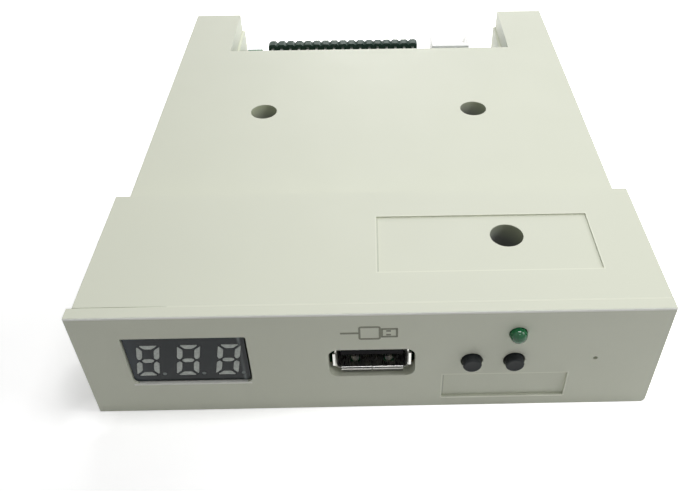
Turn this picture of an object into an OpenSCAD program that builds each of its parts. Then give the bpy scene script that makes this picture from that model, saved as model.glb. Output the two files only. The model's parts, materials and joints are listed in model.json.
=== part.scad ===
// Drive-bay unit that stands in for a 3.5-inch floppy drive.
// A moulded bottom case with the front panel, a stepped cover, and a circuit board between them.
// The front faces -Y, X is to the right and Z is up. All sizes are in millimetres.
// Inside the modules, y is measured back from the panel's face and z up from the underside.

/* [Case] */
// Width of the front panel
panel_w = 101.6; // [98:0.2:108]
// Height of the front panel and of the raised part of the cover
panel_h = 25.4; // [25:0.1:30]
// Thickness of the front panel
panel_t = 2.4; // [2:0.1:3]
// Length from the panel's face to the ends of the rear ears
case_l = 125; // [122:0.5:150]
// Set-back of each case side from the end of the panel
side_inset = 0.45; // [0.2:0.05:1]
// Shift of the case to the right of the panel's middle
case_shift = 0.45; // [0:0.05:0.45]
// Thickness of the case walls and of the cover's skin
wall_t = 2; // [1.6:0.1:2.4]
// Thickness of the floor
floor_t = 2; // [1.6:0.1:3]
// Length of the raised part of the cover
raised_l = 30.1; // [28:0.1:36]
// Height of the lower rear deck
deck_h = 20.1; // [20:0.1:22]
// Height of the seam between the bottom case and the cover
seam_z = 15.1; // [13:0.1:16]
// Gap between the panel and the cover
seam_gap = 0.1; // [0.1:0.05:0.4]
// Chamfers along the seam between the bottom case and the cover
seam_c = 0.2; // [0.1:0.05:0.4]
// Height of the lip that locates the cover
lip_h = 1.5; // [0.8:0.1:2]
// Clearance between the lip and the cover
lip_gap = 0.15; // [0.1:0.05:0.3]
// Width of the rear notch between the ears
notch_w = 75.6; // [73:0.1:78]
// Length of the rear notch
notch_l = 22.5; // [19:0.1:24]
// Step in from the cover's ear to the bottom case's ear
ear_step = 0.7; // [0.3:0.1:1.2]
// Length of the slot at the root of each ear's inner wall
ear_slot = 1.8; // [1:0.1:3]
// Chamfer along the outer edges
edge_c = 0.15; // [0.1:0.05:0.5]
// Radius of the panel's lower right corner
panel_r = 1.3; // [0.5:0.1:2]
// Radius of the panel's lower left corner
panel_left_r = 0.5; // [0.3:0.1:2]

/* [Case screws] */
// Distance of the case screws from the middle
screw_x = 25.2; // [23:0.05:28]
// Distance of the front screw from the panel's face
front_screw_y = 19.3; // [17.5:0.1:25]
// Distance of the rear screws from the panel's face
rear_screw_y = 71.4; // [66:0.1:78]
// Radius of the screw wells
well_r = 3.1; // [2.9:0.05:3.6]
// Wall thickness of the screw wells
well_wall = 1.4; // [1:0.1:2]
// Thickness of a well's floor, under the screw head
well_floor = 1.6; // [1:0.1:2.5]
// Radius of a screw's shank
screw_r = 1.45; // [1.2:0.05:1.5]
// Clearance round a screw's shank in its boss
screw_fit = 0.05; // [0.02:0.01:0.1]
// Clearance round a screw's shank in the cover and the board
screw_gap = 0.2; // [0.1:0.05:0.3]
// Radius of a screw's head
screw_head_r = 2.7; // [2.3:0.1:2.8]
// Height of a screw's head
screw_head_h = 1.9; // [1.4:0.1:2.4]
// Length of a screw's shank inside its boss
screw_grip = 4.5; // [3:0.1:5.5]
// Wall thickness of a screw boss
boss_wall = 1.8; // [1.2:0.1:2.5]

/* [Mounting holes] */
// Distance of the first side hole from the panel's face
side_hole_y = 23.4; // [20:0.1:28]
// Distance between the two holes of a row
hole_pitch = 70; // [66:0.5:72]
// Height of the side holes above the underside
side_hole_z = 5; // [4.4:0.1:5.4]
// Distance of the holes in the underside from the case's sides
base_hole_inset = 5.35; // [5.35:0.05:7.35]
// Distance of the underside holes behind the side holes
base_hole_shift = 10; // [8:0.5:12]
// Radius of the mounting holes
mount_hole_r = 1.25; // [1:0.05:1.5]
// Depth of the mounting holes
mount_hole_l = 6; // [4:0.1:6.4]
// Wall thickness round the mounting holes
mount_wall = 1.6; // [1.2:0.1:1.7]

/* [Display] */
// Distance of the display's middle from the left end of the panel
display_inset = 18.7; // [16.8:0.1:19.8]
// Distance of the display's middle below the top of the panel
display_drop = 11.3; // [11:0.1:12.4]
// Width of the display block
display_w = 20.7; // [18:0.1:22]
// Height of the display block
display_h = 11.7; // [10.5:0.1:12.5]
// Depth of the display block
display_d = 6.2; // [5:0.1:7]
// Set-back of the display's face behind the panel's face
display_back = 0.5; // [0.5:0.1:1.5]
// Gap between the display and the window, on the left, the top and the bottom
window_gap = 0.2; // [0.1:0.05:0.4]
// Extra gap on the right of the display
window_slack = 0.2; // [0:0.05:0.6]
// Radius of the window's lower corners
window_r = 1.3; // [0.5:0.1:2.5]
// Height of a digit
digit_h = 8.1; // [6.5:0.1:9]
// Width of a digit
digit_w = 4.05; // [3.4:0.05:4.6]
// Distance between digits
digit_pitch = 7; // [6:0.05:7]
// Width of a segment
segment_w = 1.05; // [0.8:0.05:1.2]
// Gap between two segments
segment_gap = 0.3; // [0.1:0.02:0.4]
// Lean of the digits, in degrees
digit_lean = 10.5; // [0:0.5:12]
// Depth of the segments in the display's face
segment_d = 0.4; // [0.2:0.1:1]
// Width of the display's own board
display_board_w = 25; // [23:0.1:26]
// Height of the display's own board
display_board_h = 16.4; // [14:0.1:17]
// Thickness of the display's own board
display_board_t = 1.2; // [0.8:0.1:1.6]
// Clearance of the display's board in its rails
rail_gap = 0.1; // [0.05:0.05:0.2]
// How deep the rails hold the display's board
rail_bite = 1; // [0.6:0.1:1.4]
// Wall thickness of the rails
rail_wall = 1.5; // [1:0.1:1.8]

/* [Socket] */
// Width of the socket's metal shell
socket_w = 13.1; // [12.6:0.1:13.6]
// Height of the socket's metal shell
socket_h = 5.7; // [5.4:0.1:6]
// Length of the socket's metal shell
socket_l = 14; // [13:0.1:16]
// Thickness of the shell's sheet
sheet_t = 0.3; // [0.2:0.05:0.4]
// Set-back of the socket's mouth behind the panel's face
socket_back = 0.8; // [0.4:0.1:1.2]
// Outward flare of the lips round the mouth
lip_flare = 0.35; // [0.2:0.05:0.6]
// Length of the lips round the mouth
mouth_lip_l = 0.55; // [0.2:0.05:0.8]
// Length of the socket's contact tongue
tongue_l = 9.1; // [8:0.1:9.4]
// Width of the contact tongue
tongue_w = 11; // [10:0.1:11.2]
// Thickness of the contact tongue
tongue_t = 1.84; // [1.6:0.02:2]
// Gap over the contact tongue
tongue_gap = 0.8; // [0.5:0.05:1]
// Width of the panel's opening for the socket
socket_open_w = 15.2; // [15:0.1:16]
// Height of the panel's opening for the socket
socket_open_h = 7.2; // [7:0.1:8]
// Corner radius of the panel's opening for the socket
socket_open_r = 1.8; // [1:0.1:2.4]

/* [Buttons and lamp] */
// Place of the left button
button_left_x = 17.5; // [16:0.05:18]
// Place of the right button
button_right_x = 24.95; // [24.4:0.05:28]
// Radius of a button
button_r = 1.65; // [1.4:0.05:1.8]
// How far a button stands out of the panel
button_out = 1.35; // [1:0.05:1.7]
// Travel of a button
button_travel = 0.25; // [0.15:0.05:0.3]
// Clearance round a button in the panel
button_gap = 0.3; // [0.2:0.05:0.4]
// Width and height of a switch body
switch_w = 6; // [5.8:0.1:6.4]
// Depth of a switch body
switch_d = 3.4; // [3.2:0.1:4]
// Gap between the panel and the switches
switch_gap = 0.8; // [0.5:0.1:1.2]
// Distance of the lamp's middle below the top of the panel
lamp_drop = 5.6; // [5:0.1:5.8]
// Radius of the lamp
lamp_r = 1.5; // [1.3:0.05:1.6]
// How far the lamp stands out of the panel
lamp_out = 1.8; // [1.75:0.05:2.4]
// Clearance round the lamp in the panel
lamp_gap = 0.1; // [0.05:0.05:0.2]
// Length of the lamp's wires behind its rim
lamp_wire_l = 5; // [4.8:0.1:7]
// Distance of the pinhole from the right end of the panel
pinhole_inset = 11.55; // [8.8:0.05:13.8]
// Height of the pinhole
pinhole_z = 13; // [11:0.1:15]
// Radius of the pinhole
pinhole_r = 0.4; // [0.3:0.05:0.8]

/* [Label recesses] */
// Left edge of the recess on the cover
top_label_x = 1.2; // [0:0.1:4]
// Front edge of the recess on the cover
top_label_y = 9.9; // [8:0.1:11]
// Width of the recess on the cover
top_label_w = 39.7; // [36:0.1:42]
// Length of the recess on the cover
top_label_l = 15; // [14:0.1:18]
// Left edge of the recess on the panel
front_label_x = 12.6; // [11:0.1:14]
// Lower edge of the recess on the panel
front_label_z = 2.7; // [2:0.1:3]
// Width of the recess on the panel
front_label_w = 22.4; // [20:0.1:23]
// Height of the recess on the panel
front_label_h = 6.4; // [5:0.1:7]
// Depth of the recess on the panel
label_d = 0.5; // [0.2:0.05:0.6]
// Depth of the recess on the cover
top_label_d = 0.35; // [0.2:0.05:0.6]

/* [Board] */
// Height of the board's underside
board_z = 8.3; // [8.2:0.1:9]
// Thickness of the board
board_t = 1.6; // [1:0.1:1.8]
// Gap between the board and the case walls
board_gap = 1; // [0.5:0.1:1.5]
// Gap between the board and the panel
board_front_gap = 0.4; // [0.2:0.1:0.6]
// Radius of the plain posts under the board
post_r = 2.5; // [2:0.1:3]
// Distance of the plain posts from the middle
post_x = 32; // [30.5:0.1:33]

/* [Rear connectors] */
// Distance between neighbouring pins
pin_pitch = 2.54; // [2.5:0.01:2.56]
// Thickness of a square pin
pin_t = 0.64; // [0.5:0.01:0.7]
// Number of columns of the data connector
data_columns = 17; // [10:1:17]
// Place of the data connector's middle
data_x = -7.3; // [-9:0.05:-7]
// Free length of the data connector's pins
pin_out = 6; // [5:0.1:6.5]
// Set-back of the pin tips from the ears' ends
pin_back = 0.7; // [0.2:0.1:1.5]
// Depth of a pin strip
strip_d = 2.5; // [2.2:0.1:2.5]
// Chamfer between the cells of a pin strip
cell_c = 0.6; // [0.3:0.05:0.8]
// Place of the power connector's middle
power_x = 24; // [23.4:0.1:26]
// Width of the power connector
power_w = 10.6; // [10:0.1:11]
// Depth of the power connector
power_d = 8.5; // [7.5:0.1:9]
// Height of the power connector's back wall
power_h = 4.4; // [4:0.1:5]
// Distance between the power connector's pins
power_pitch = 2.5; // [2.2:0.05:2.54]

/* [Board components] */
// Width of the controller chip
chip_w = 10; // [9:0.5:12]
// Distance of the controller chip from the panel's face
chip_y = 47; // [42:0.5:50]
// Thickness of the chips
chip_t = 1.5; // [1.2:0.1:2]
// Number of leads along each side of the controller chip
chip_leads = 11; // [6:1:11]
// Distance between the controller chip's leads
chip_pitch = 0.8; // [0.5:0.05:0.8]
// Length of a buffer chip
buffer_l = 8.7; // [8.2:0.1:10]
// Width of a buffer chip
buffer_w = 3.9; // [3.5:0.1:5]
// Distance between a buffer chip's leads
buffer_pitch = 1.27; // [1:0.01:1.27]
// Distance of the buffer chips from the panel's face
buffer_y = 96; // [92:0.5:99]
// Radius of the capacitors
capacitor_r = 3.15; // [2:0.05:3.6]
// Height of the capacitors
capacitor_h = 7; // [5:0.1:7.4]
// Length of the crystal's can
crystal_l = 11; // [9:0.5:12]
// Width of the crystal's can
crystal_w = 4.6; // [4:0.1:5]
// Height of the crystal's can
crystal_h = 3.5; // [2.5:0.1:4.5]

/* [Hidden] */
$fn = 48;
// Overlap that makes a cut run clear of a face
cut = 1;
// Overlap of pieces that are one moulding
weld = 0.2;

case_color = [0.87, 0.87, 0.80];
board_color = [0.10, 0.32, 0.20];
black_color = [0.09, 0.10, 0.11];
metal_color = [0.78, 0.78, 0.76];
gold_color = [0.82, 0.68, 0.36];
white_color = [0.93, 0.92, 0.86];

// Places along y, from the panel's face
front_y = (lamp_out - case_l) / 2;
cover_y = panel_t + seam_gap;
step_y = panel_t + raised_l;
ear_y = case_l - notch_l;
header_y = case_l - pin_back - pin_out;
strip_y = header_y - strip_d;

// Half widths
case_half = panel_w / 2 - side_inset;
inner_half = case_half - wall_t;
rear_half = notch_w / 2 - ear_step;

// Board
board_top = board_z + board_t;
board_y = panel_t + board_front_gap;
board_half = inner_half - board_gap;
board_rear_half = rear_half - board_gap / 2;
board_tab_w = 4.4;
board_tab_back = 1.8;
board_tab_y = case_l - board_tab_back;
tail_l = 1.5;
tail_z = board_z - tail_l;
pin_hole_gap = 0.05;
pin_hole_r = pin_t / sqrt(2) + pin_hole_gap;
rear_post_back = 4;
rear_post_y = ear_y + rear_post_back;
front_post_x = 12;
front_post_back = 8;
front_post_y = board_y + front_post_back;
post_places = [
    for (s = [-1, 1]) each [[s * post_x, rear_post_y], [s * front_post_x, front_post_y]]
];

// Case screws
screw_places = [[screw_x, front_screw_y], [screw_x, rear_screw_y], [-screw_x, rear_screw_y]];
screw_seat = board_top + well_floor;
boss_r = screw_r + boss_wall;
cross_w = 0.7;
cross_l = 2.8;
cross_d = 0.9;

// Mounting holes
side_hole_rows = [side_hole_y, side_hole_y + hole_pitch];
base_hole_rows = [for (y = side_hole_rows) y + base_hole_shift];
base_hole_x = case_half - base_hole_inset;
mount_r = mount_hole_r + mount_wall;
mount_skin = 1.2;

// Display
display_x = display_inset - panel_w / 2;
display_z = panel_h - display_drop;
window_w = display_w + 2 * window_gap + window_slack;
window_h = display_h + 2 * window_gap;
window_x = display_x + window_slack / 2;
window_top_r = 0.4;
display_board_y = display_back + display_d;
rail_y = display_board_y + display_board_t + rail_gap + rail_wall;
board_bay_x = display_x + display_board_w / 2 + rail_gap + rail_wall + board_gap;
board_bay_y = rail_y + board_gap;
display_board_z = display_z - display_board_h / 2;
digit_drop = -0.3;
dot_r = 0.42;
dot_gap = 0.95;
driver_l = 9.9;
driver_leads = 8;

// Link between the two boards
link_columns = 5;
link_y = board_bay_y + board_gap;
link_z = board_top + pin_pitch / 2;
link_bend_y = link_y + strip_d + pin_t;
driver_up = 5;
driver_z = link_z + driver_up;

// Socket
socket_z = board_top + socket_h / 2;
mouth_y = socket_back;
shell_y = mouth_y + mouth_lip_l;
shell_end = mouth_y + socket_l;
shell_r = 0.9;
tongue_top = socket_z + socket_h / 2 - sheet_t - tongue_gap;
tongue_z = tongue_top - tongue_t;
insulator_l = 4;
tongue_y = shell_end - insulator_l - tongue_l;
contact_xs = [-3.5, -1, 1, 3.5];
contact_w = 1;
contact_t = 0.3;
contact_back = 1;
contact_out = 0.8;
contact_bend_y = shell_end + contact_out;
contact_hole_r = contact_w / 2 + 2 * pin_hole_gap;
leg_back = 6;
leg_y = shell_end - leg_back;
leg_l = 2;
leg_gap = 0.25;
leaf_x = 3;
leaf_w = 1.4;
leaf_l = 5.4;
leaf_back = 1.9;
leaf_y = mouth_y + leaf_back;
leaf_rise = 0.3;
leaf_slot = 0.15;
side_lip_h = 3.1;
long_lip_w = 11;
lip_split = 0.16;
lip_rim = 0.5 * mouth_lip_l;
lip_rise = 0.6 * lip_flare;

// Buttons and lamp
button_xs = [button_left_x, button_right_x];
button_z = board_top + switch_w / 2;
switch_y = panel_t + switch_gap;
switch_plate_t = 0.3;
switch_hole_gap = 0.1;
collar_step = 0.5;
collar_r = button_r + collar_step;
collar_t = 0.7;
cavity_gap = 0.25;
cavity_r = collar_r + cavity_gap;
dome_gap = 0.1;
dome_t = 0.12;
dome_h = 0.45;
press_gap = 0.1;
cavity_d = switch_hole_gap + collar_t + button_travel + press_gap + dome_h;
lead_t = 0.5;
lamp_x = button_right_x;
lamp_z = panel_h - lamp_drop;
pinhole_x = panel_w / 2 - pinhole_inset;
lamp_rim_step = 0.4;
lamp_rim_r = lamp_r + lamp_rim_step;
lamp_rim_gap = 0.2;
lamp_rim_t = switch_gap - lamp_rim_gap;
lamp_wire_t = 0.5;
lamp_wire_x = 1.27;

// Rear connectors
data_rows = 2;
data_h = data_rows * pin_pitch;
power_columns = 4;
power_set_back = 1.5;
power_end = case_l - power_set_back;
power_y = power_end - power_d;
power_wall = 0.9;
power_back = 2;
power_pin_up = 2.3;
power_pin_z = board_top + power_pin_up;
jumper_columns = 3;
jumper_rows = 2;
jumper_inset = 4;
jumper_x = board_rear_half - jumper_inset;
jumper_back = 9;
jumper_y = ear_y - jumper_back;
jumper_pin_h = 7.4;
jumper_cap_h = 5;
jumper_cap_w = 2.4;

// Board components
gull_t = 0.15;
gull_out = 0.9;
gull_rise = 0.6;
chip_lift = 0.1;
buffer_spread = 9;
buffer_xs = [for (s = [-1, 1]) data_x + s * buffer_spread];
buffer_lead_count = 7;
edge_column_inset = 11.35;
edge_column_x = board_half - edge_column_inset;
regulator_y = 60;
regulator_place = [edge_column_x, regulator_y];
regulator_w = 6.5;
regulator_d = 3.5;
regulator_t = 1.6;
regulator_pitch = 2.3;
capacitor_ys = [48, 74];
capacitor_places = [for (y = capacitor_ys) [edge_column_x, y]];
capacitor_base_h = 1;
crystal_x = -20;
crystal_place = [crystal_x, chip_y];
crystal_base_t = 0.5;
resistor_w = 1.25;
resistor_l = 2;
resistor_t = 0.55;
resistor_pitch = 3.5;
resistor_count = 6;
resistor_rows = [62, 84];

// Shared shapes
// The places of n things in a row with its middle at mid
function row_places(n, pitch, mid) = [for (i = [0 : n - 1]) mid + (i - (n - 1) / 2) * pitch];

module placed() {
    translate([0, front_y, 0]) children();
}

// Moves what belongs to the case's walls to the right of the panel's middle
module shifted() {
    translate([case_shift, 0, 0]) children();
}

module along_y(y0, y1) {
    translate([0, y1, 0]) rotate([90, 0, 0]) linear_extrude(y1 - y0) children();
}

module along_x(x0, x1) {
    translate([x0, 0, 0]) rotate([90, 0, 90]) linear_extrude(x1 - x0) children();
}

module box(x0, x1, y0, y1, z0, z1) {
    translate([x0, y0, z0]) cube([x1 - x0, y1 - y0, z1 - z0]);
}

module rod_y(r, y0, y1) {
    translate([0, y0, 0]) rotate([-90, 0, 0]) cylinder(r = r, h = y1 - y0);
}

module rod_x(r, x0, x1) {
    translate([x0, 0, 0]) rotate([0, 90, 0]) cylinder(r = r, h = x1 - x0);
}

module rounded_rect(w, h, r) {
    square([w - 2 * r, h], center = true);
    square([w, h - 2 * r], center = true);
    for (x = [-1, 1]) {
        for (y = [-1, 1]) translate([x * (w / 2 - r), y * (h / 2 - r)]) circle(r = r);
    }
}

// A rectangle whose lower and upper corners have their own radii
module two_radius_rect(w, h, r_low, r_high) {
    intersection() {
        rounded_rect(w, h, r_low);
        translate([-w, -2 * h]) square([2 * w, 2 * h]);
    }
    intersection() {
        rounded_rect(w, h, r_high);
        translate([-w, 0]) square([2 * w, 2 * h]);
    }
}

// A square pin that runs from its tip to a bend and then down through a board
module bent_pin(x, z, tip_y, bend_y, w = pin_t, t = pin_t) {
    s = sign(tip_y - bend_y) * t / 2;
    along_x(x - w / 2, x + w / 2) polygon([
        [bend_y - s, tail_z], [bend_y + s, tail_z], [bend_y + s, z - t / 2],
        [tip_y, z - t / 2], [tip_y, z + t / 2], [bend_y - s, z + t / 2]
    ]);
}

// A row of gull-wing leads along x, standing off a chip's side at distance half
module lead_row(n, pitch, w, half) {
    side = gull_rise + gull_t;
    foot = half + gull_out;
    knee = half + gull_out / 2;
    for (x = row_places(n, pitch, 0)) {
        along_x(x - w / 2, x + w / 2) polygon([
            [half, gull_rise], [half, side], [knee + gull_t, side], [knee + gull_t, gull_t],
            [foot, gull_t], [foot, 0], [knee, 0], [knee, gull_rise]
        ]);
    }
}

// A moulded chip body with its edges drawn in above and below the leads
module chip_body(l, w, t) {
    bevel = t / 8;
    middle = t / 2;
    intersection() {
        along_x(-l / 2, l / 2) polygon([
            [-w / 2 + bevel, 0], [w / 2 - bevel, 0], [w / 2, middle - bevel], [w / 2, middle + bevel],
            [w / 2 - bevel, t], [-w / 2 + bevel, t], [-w / 2, middle + bevel], [-w / 2, middle - bevel]
        ]);
        along_y(-w / 2, w / 2) polygon([
            [-l / 2 + bevel, 0], [l / 2 - bevel, 0], [l / 2, middle - bevel], [l / 2, middle + bevel],
            [l / 2 - bevel, t], [-l / 2 + bevel, t], [-l / 2, middle + bevel], [-l / 2, middle - bevel]
        ]);
    }
}

// The outline of a pin strip: cells with chamfers between them along the top
module strip_outline(columns, h) {
    half = columns * pin_pitch / 2;
    crown = [
        for (x = row_places(columns, -pin_pitch, 0)) each [
            [x + pin_pitch / 2, h - cell_c], [x + pin_pitch / 2 - cell_c, h],
            [x - pin_pitch / 2 + cell_c, h]
        ]
    ];
    polygon(concat([[-half, 0], [half, 0]], crown, [[-half, h - cell_c]]));
}

// Case
module panel_plate() {
    half = panel_w / 2;
    intersection() {
        along_y(0, panel_t) translate([0, panel_h / 2]) intersection() {
            two_radius_rect(panel_w, panel_h, panel_left_r, edge_c);
            translate([-panel_r, 0]) two_radius_rect(panel_w + 2 * panel_r, panel_h, panel_r, edge_c);
        }
        along_x(-half, half) polygon([
            [edge_c, 0], [panel_t, 0], [panel_t, panel_h], [edge_c, panel_h],
            [0, panel_h - edge_c], [0, edge_c]
        ]);
        linear_extrude(panel_h) polygon([
            [-half + edge_c, 0], [half - edge_c, 0], [half, edge_c], [half, panel_t],
            [-half, panel_t], [-half, edge_c]
        ]);
    }
}

module panel_openings() {
    along_y(-cut, display_back) translate([window_x, display_z]) {
        two_radius_rect(window_w, window_h, window_r, window_top_r);
    }
    along_y(display_back, panel_t + cut) translate([window_x, display_z]) {
        square([window_w, window_h], center = true);
    }
    along_y(-cut, panel_t + cut) {
        translate([0, socket_z]) rounded_rect(socket_open_w, socket_open_h, socket_open_r);
        for (x = button_xs) translate([x, button_z]) circle(r = button_r + button_gap);
        translate([lamp_x, lamp_z]) circle(r = lamp_r + lamp_gap);
        translate([pinhole_x, pinhole_z]) circle(r = pinhole_r);
    }
    box(front_label_x, front_label_x + front_label_w, -cut, label_d,
        front_label_z, front_label_z + front_label_h);
}

module tray_shell() {
    difference() {
        along_y(panel_t - weld, case_l) polygon([
            [-case_half + edge_c, 0], [case_half - edge_c, 0], [case_half, edge_c],
            [case_half, seam_z - seam_c], [case_half - seam_c, seam_z],
            [-case_half + seam_c, seam_z], [-case_half, seam_z - seam_c], [-case_half, edge_c]
        ]);
        box(-inner_half, inner_half, panel_t, ear_y, floor_t, seam_z + cut);
        box(-rear_half, rear_half, ear_y - cut, case_l + cut, floor_t, seam_z + cut);
        for (s = [0, 1]) mirror([s, 0, 0]) {
            box(rear_half + wall_t, inner_half, ear_y - cut, case_l - wall_t, floor_t, seam_z + cut);
            box(rear_half - cut, rear_half + wall_t + cut, ear_y - cut, ear_y + ear_slot,
                board_z, seam_z + cut);
        }
    }
}

// The lip that stands up inside the cover's side walls
module seam_lips() {
    for (s = [0, 1]) mirror([s, 0, 0]) {
        box(inner_half, inner_half + wall_t / 2 - lip_gap, panel_t - weld, ear_y,
            seam_z - weld, seam_z + lip_h);
    }
}

module board_supports() {
    for (p = screw_places) translate([p[0], p[1], 0]) cylinder(r = boss_r, h = board_z);
    for (p = post_places) translate([p[0], p[1], 0]) cylinder(r = post_r, h = board_z);
}

module mounting_bosses() {
    for (s = [0, 1]) mirror([s, 0, 0]) {
        for (y = side_hole_rows) {
            box(case_half - mount_hole_l - mount_skin, inner_half + weld, y - mount_r, y + mount_r,
                floor_t - weld, side_hole_z + mount_r);
        }
        for (y = base_hole_rows) {
            translate([base_hole_x, y, 0]) cylinder(r = mount_r, h = mount_hole_l + mount_skin);
        }
    }
}

module mounting_holes() {
    for (s = [0, 1]) mirror([s, 0, 0]) {
        for (y = side_hole_rows) {
            translate([0, y, side_hole_z]) rod_x(mount_hole_r, case_half - mount_hole_l, case_half + cut);
        }
        for (y = base_hole_rows) {
            translate([base_hole_x, y, -cut]) cylinder(r = mount_hole_r, h = mount_hole_l + cut);
        }
    }
}

// Two upright rails behind the panel, with a slot each for the display's board
module display_rails() {
    edge = display_board_w / 2;
    slot_y = display_board_y - rail_gap;
    slot_l = display_board_t + 2 * rail_gap;
    for (s = [-1, 1]) translate([display_x, 0, 0]) mirror([s > 0 ? 0 : 1, 0, 0]) {
        difference() {
            box(edge - rail_bite, edge + rail_gap + rail_wall, panel_t - weld, rail_y,
                floor_t - weld, display_z + display_board_h / 3);
            box(edge - rail_bite - cut, edge + rail_gap, slot_y, slot_y + slot_l,
                display_board_z, display_z + display_board_h);
        }
    }
}

module bottom_case() {
    color(case_color) placed() difference() {
        union() {
            panel_plate();
            shifted() {
                tray_shell();
                seam_lips();
                mounting_bosses();
            }
            board_supports();
            display_rails();
        }
        panel_openings();
        shifted() mounting_holes();
        for (p = screw_places) translate([p[0], p[1], board_z - screw_grip - screw_gap]) {
            cylinder(r = screw_r + screw_fit, h = screw_grip + screw_gap + cut);
        }
    }
}

// A block with chamfered top edges along its sides and along its rear
module cover_block(y0, y1, top) {
    intersection() {
        along_y(y0, y1) polygon([
            [-case_half + seam_c, seam_z], [case_half - seam_c, seam_z], [case_half, seam_z + seam_c],
            [case_half, top - edge_c], [case_half - edge_c, top],
            [-case_half + edge_c, top], [-case_half, top - edge_c], [-case_half, seam_z + seam_c]
        ]);
        along_x(-case_half, case_half) polygon([
            [y0, seam_z], [y1, seam_z], [y1, top - edge_c], [y1 - edge_c, top], [y0, top]
        ]);
    }
}

module cover_hollow() {
    box(-inner_half, inner_half, cover_y - cut, step_y - wall_t, seam_z - cut, panel_h - wall_t);
    box(-inner_half, inner_half, cover_y - cut, ear_y, seam_z - cut, deck_h - wall_t);
    for (s = [0, 1]) mirror([s, 0, 0]) {
        box(notch_w / 2 + wall_t, inner_half, ear_y - cut, case_l - wall_t, seam_z - cut, deck_h - wall_t);
        box(notch_w / 2 - cut, notch_w / 2 + wall_t + cut, ear_y - cut, ear_y + ear_slot,
            seam_z - cut, deck_h - wall_t);
        box(inner_half - cut, case_half - wall_t / 2, cover_y - cut, ear_y + lip_gap,
            seam_z - cut, seam_z + lip_h + lip_gap);
    }
}

module screw_wells() {
    for (p = screw_places) {
        top = p[1] < step_y ? panel_h : deck_h;
        translate([p[0], p[1], board_top]) cylinder(r = well_r + well_wall, h = top - board_top - wall_t / 2);
    }
}

module well_bores() {
    for (p = screw_places) translate([p[0], p[1], 0]) {
        translate([0, 0, screw_seat]) cylinder(r = well_r, h = panel_h);
        translate([0, 0, board_top - cut]) cylinder(r = screw_r + screw_gap, h = panel_h);
    }
}

module top_cover() {
    color(case_color) placed() difference() {
        union() {
            difference() {
                shifted() {
                    cover_block(cover_y, step_y, panel_h);
                    cover_block(step_y - wall_t, case_l, deck_h);
                }
                shifted() cover_hollow();
            }
            screw_wells();
        }
        shifted() box(-notch_w / 2, notch_w / 2, ear_y, case_l + cut, seam_z - cut, deck_h + cut);
        box(top_label_x, top_label_x + top_label_w, top_label_y, top_label_y + top_label_l,
            panel_h - top_label_d, panel_h + cut);
        well_bores();
    }
}

module case_screws() {
    crown = screw_head_h / 3;
    color(metal_color) placed() for (p = screw_places) translate([p[0], p[1], screw_seat]) difference() {
        union() {
            cylinder(r = screw_head_r, h = screw_head_h - crown);
            translate([0, 0, screw_head_h - crown]) {
                cylinder(r1 = screw_head_r, r2 = screw_head_r * 0.75, h = crown);
            }
            translate([0, 0, board_z - screw_grip - screw_seat]) {
                cylinder(r = screw_r, h = screw_seat - board_z + screw_grip + weld);
            }
        }
        for (a = [0, 90]) rotate([0, 0, a]) {
            box(-cross_l / 2, cross_l / 2, -cross_w / 2, cross_w / 2,
                screw_head_h - cross_d, screw_head_h + cut);
        }
    }
}

// Main board
module board_outline() {
    right = case_shift + board_half;
    left = case_shift - board_half;
    rear_right = case_shift + board_rear_half;
    rear_left = case_shift - board_rear_half;
    polygon([
        [board_bay_x, board_y], [right, board_y], [right, ear_y - board_gap],
        [rear_right, ear_y - board_gap], [rear_right, header_y], [rear_left + board_tab_w, header_y],
        [rear_left + board_tab_w, board_tab_y], [rear_left, board_tab_y],
        [rear_left, ear_y - board_gap], [left, ear_y - board_gap],
        [left, board_bay_y], [board_bay_x, board_bay_y]
    ]);
}

module pin_holes(places) {
    for (p = places) translate(p) circle(r = pin_hole_r);
}

module main_board() {
    color(board_color) placed() translate([0, 0, board_z]) linear_extrude(board_t) difference() {
        board_outline();
        for (p = screw_places) translate(p) circle(r = screw_r + screw_gap);
        pin_holes([for (r = [0, 1]) for (x = data_xs()) [x, data_bend_y(r)]]);
        pin_holes([for (x = power_xs()) [x, power_bend_y()]]);
        pin_holes([for (x = link_xs()) [x, link_bend_y]]);
        for (x = contact_xs) translate([x, contact_bend_y]) circle(r = contact_hole_r);
        pin_holes([for (s = [-1, 1]) [lamp_x + s * lamp_wire_x, lamp_bend_y()]]);
        pin_holes(jumper_pin_places());
        for (s = [-1, 1]) translate([s * (socket_w - sheet_t) / 2, leg_y]) {
            square([sheet_t + 2 * leg_gap, leg_l + 2 * leg_gap], center = true);
        }
    }
}

// Socket
// A lip bent outwards from the shell's mouth, with a step behind its rim
module mouth_lip(inner) {
    rim_y = mouth_y + lip_rim;
    outer = inner + sheet_t;
    polygon([
        [shell_y, inner], [rim_y, inner + lip_rise], [mouth_y, inner + lip_rise],
        [mouth_y, outer + lip_flare], [rim_y, outer + lip_flare], [shell_y, outer]
    ]);
}

module socket_lips() {
    tall = socket_h / 2 - sheet_t;
    wide = socket_w / 2 - sheet_t;
    along_x(-long_lip_w / 2, long_lip_w / 2) mouth_lip(tall);
    mirror([0, 0, 1]) {
        along_x(-long_lip_w / 2, -lip_split / 2) mouth_lip(tall);
        along_x(lip_split / 2, long_lip_w / 2) mouth_lip(tall);
    }
    for (s = [0, 1]) mirror([s, 0, 0]) translate([0, 0, -side_lip_h / 2]) linear_extrude(side_lip_h) {
        mirror([1, -1, 0]) mouth_lip(wide);
    }
}

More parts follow.
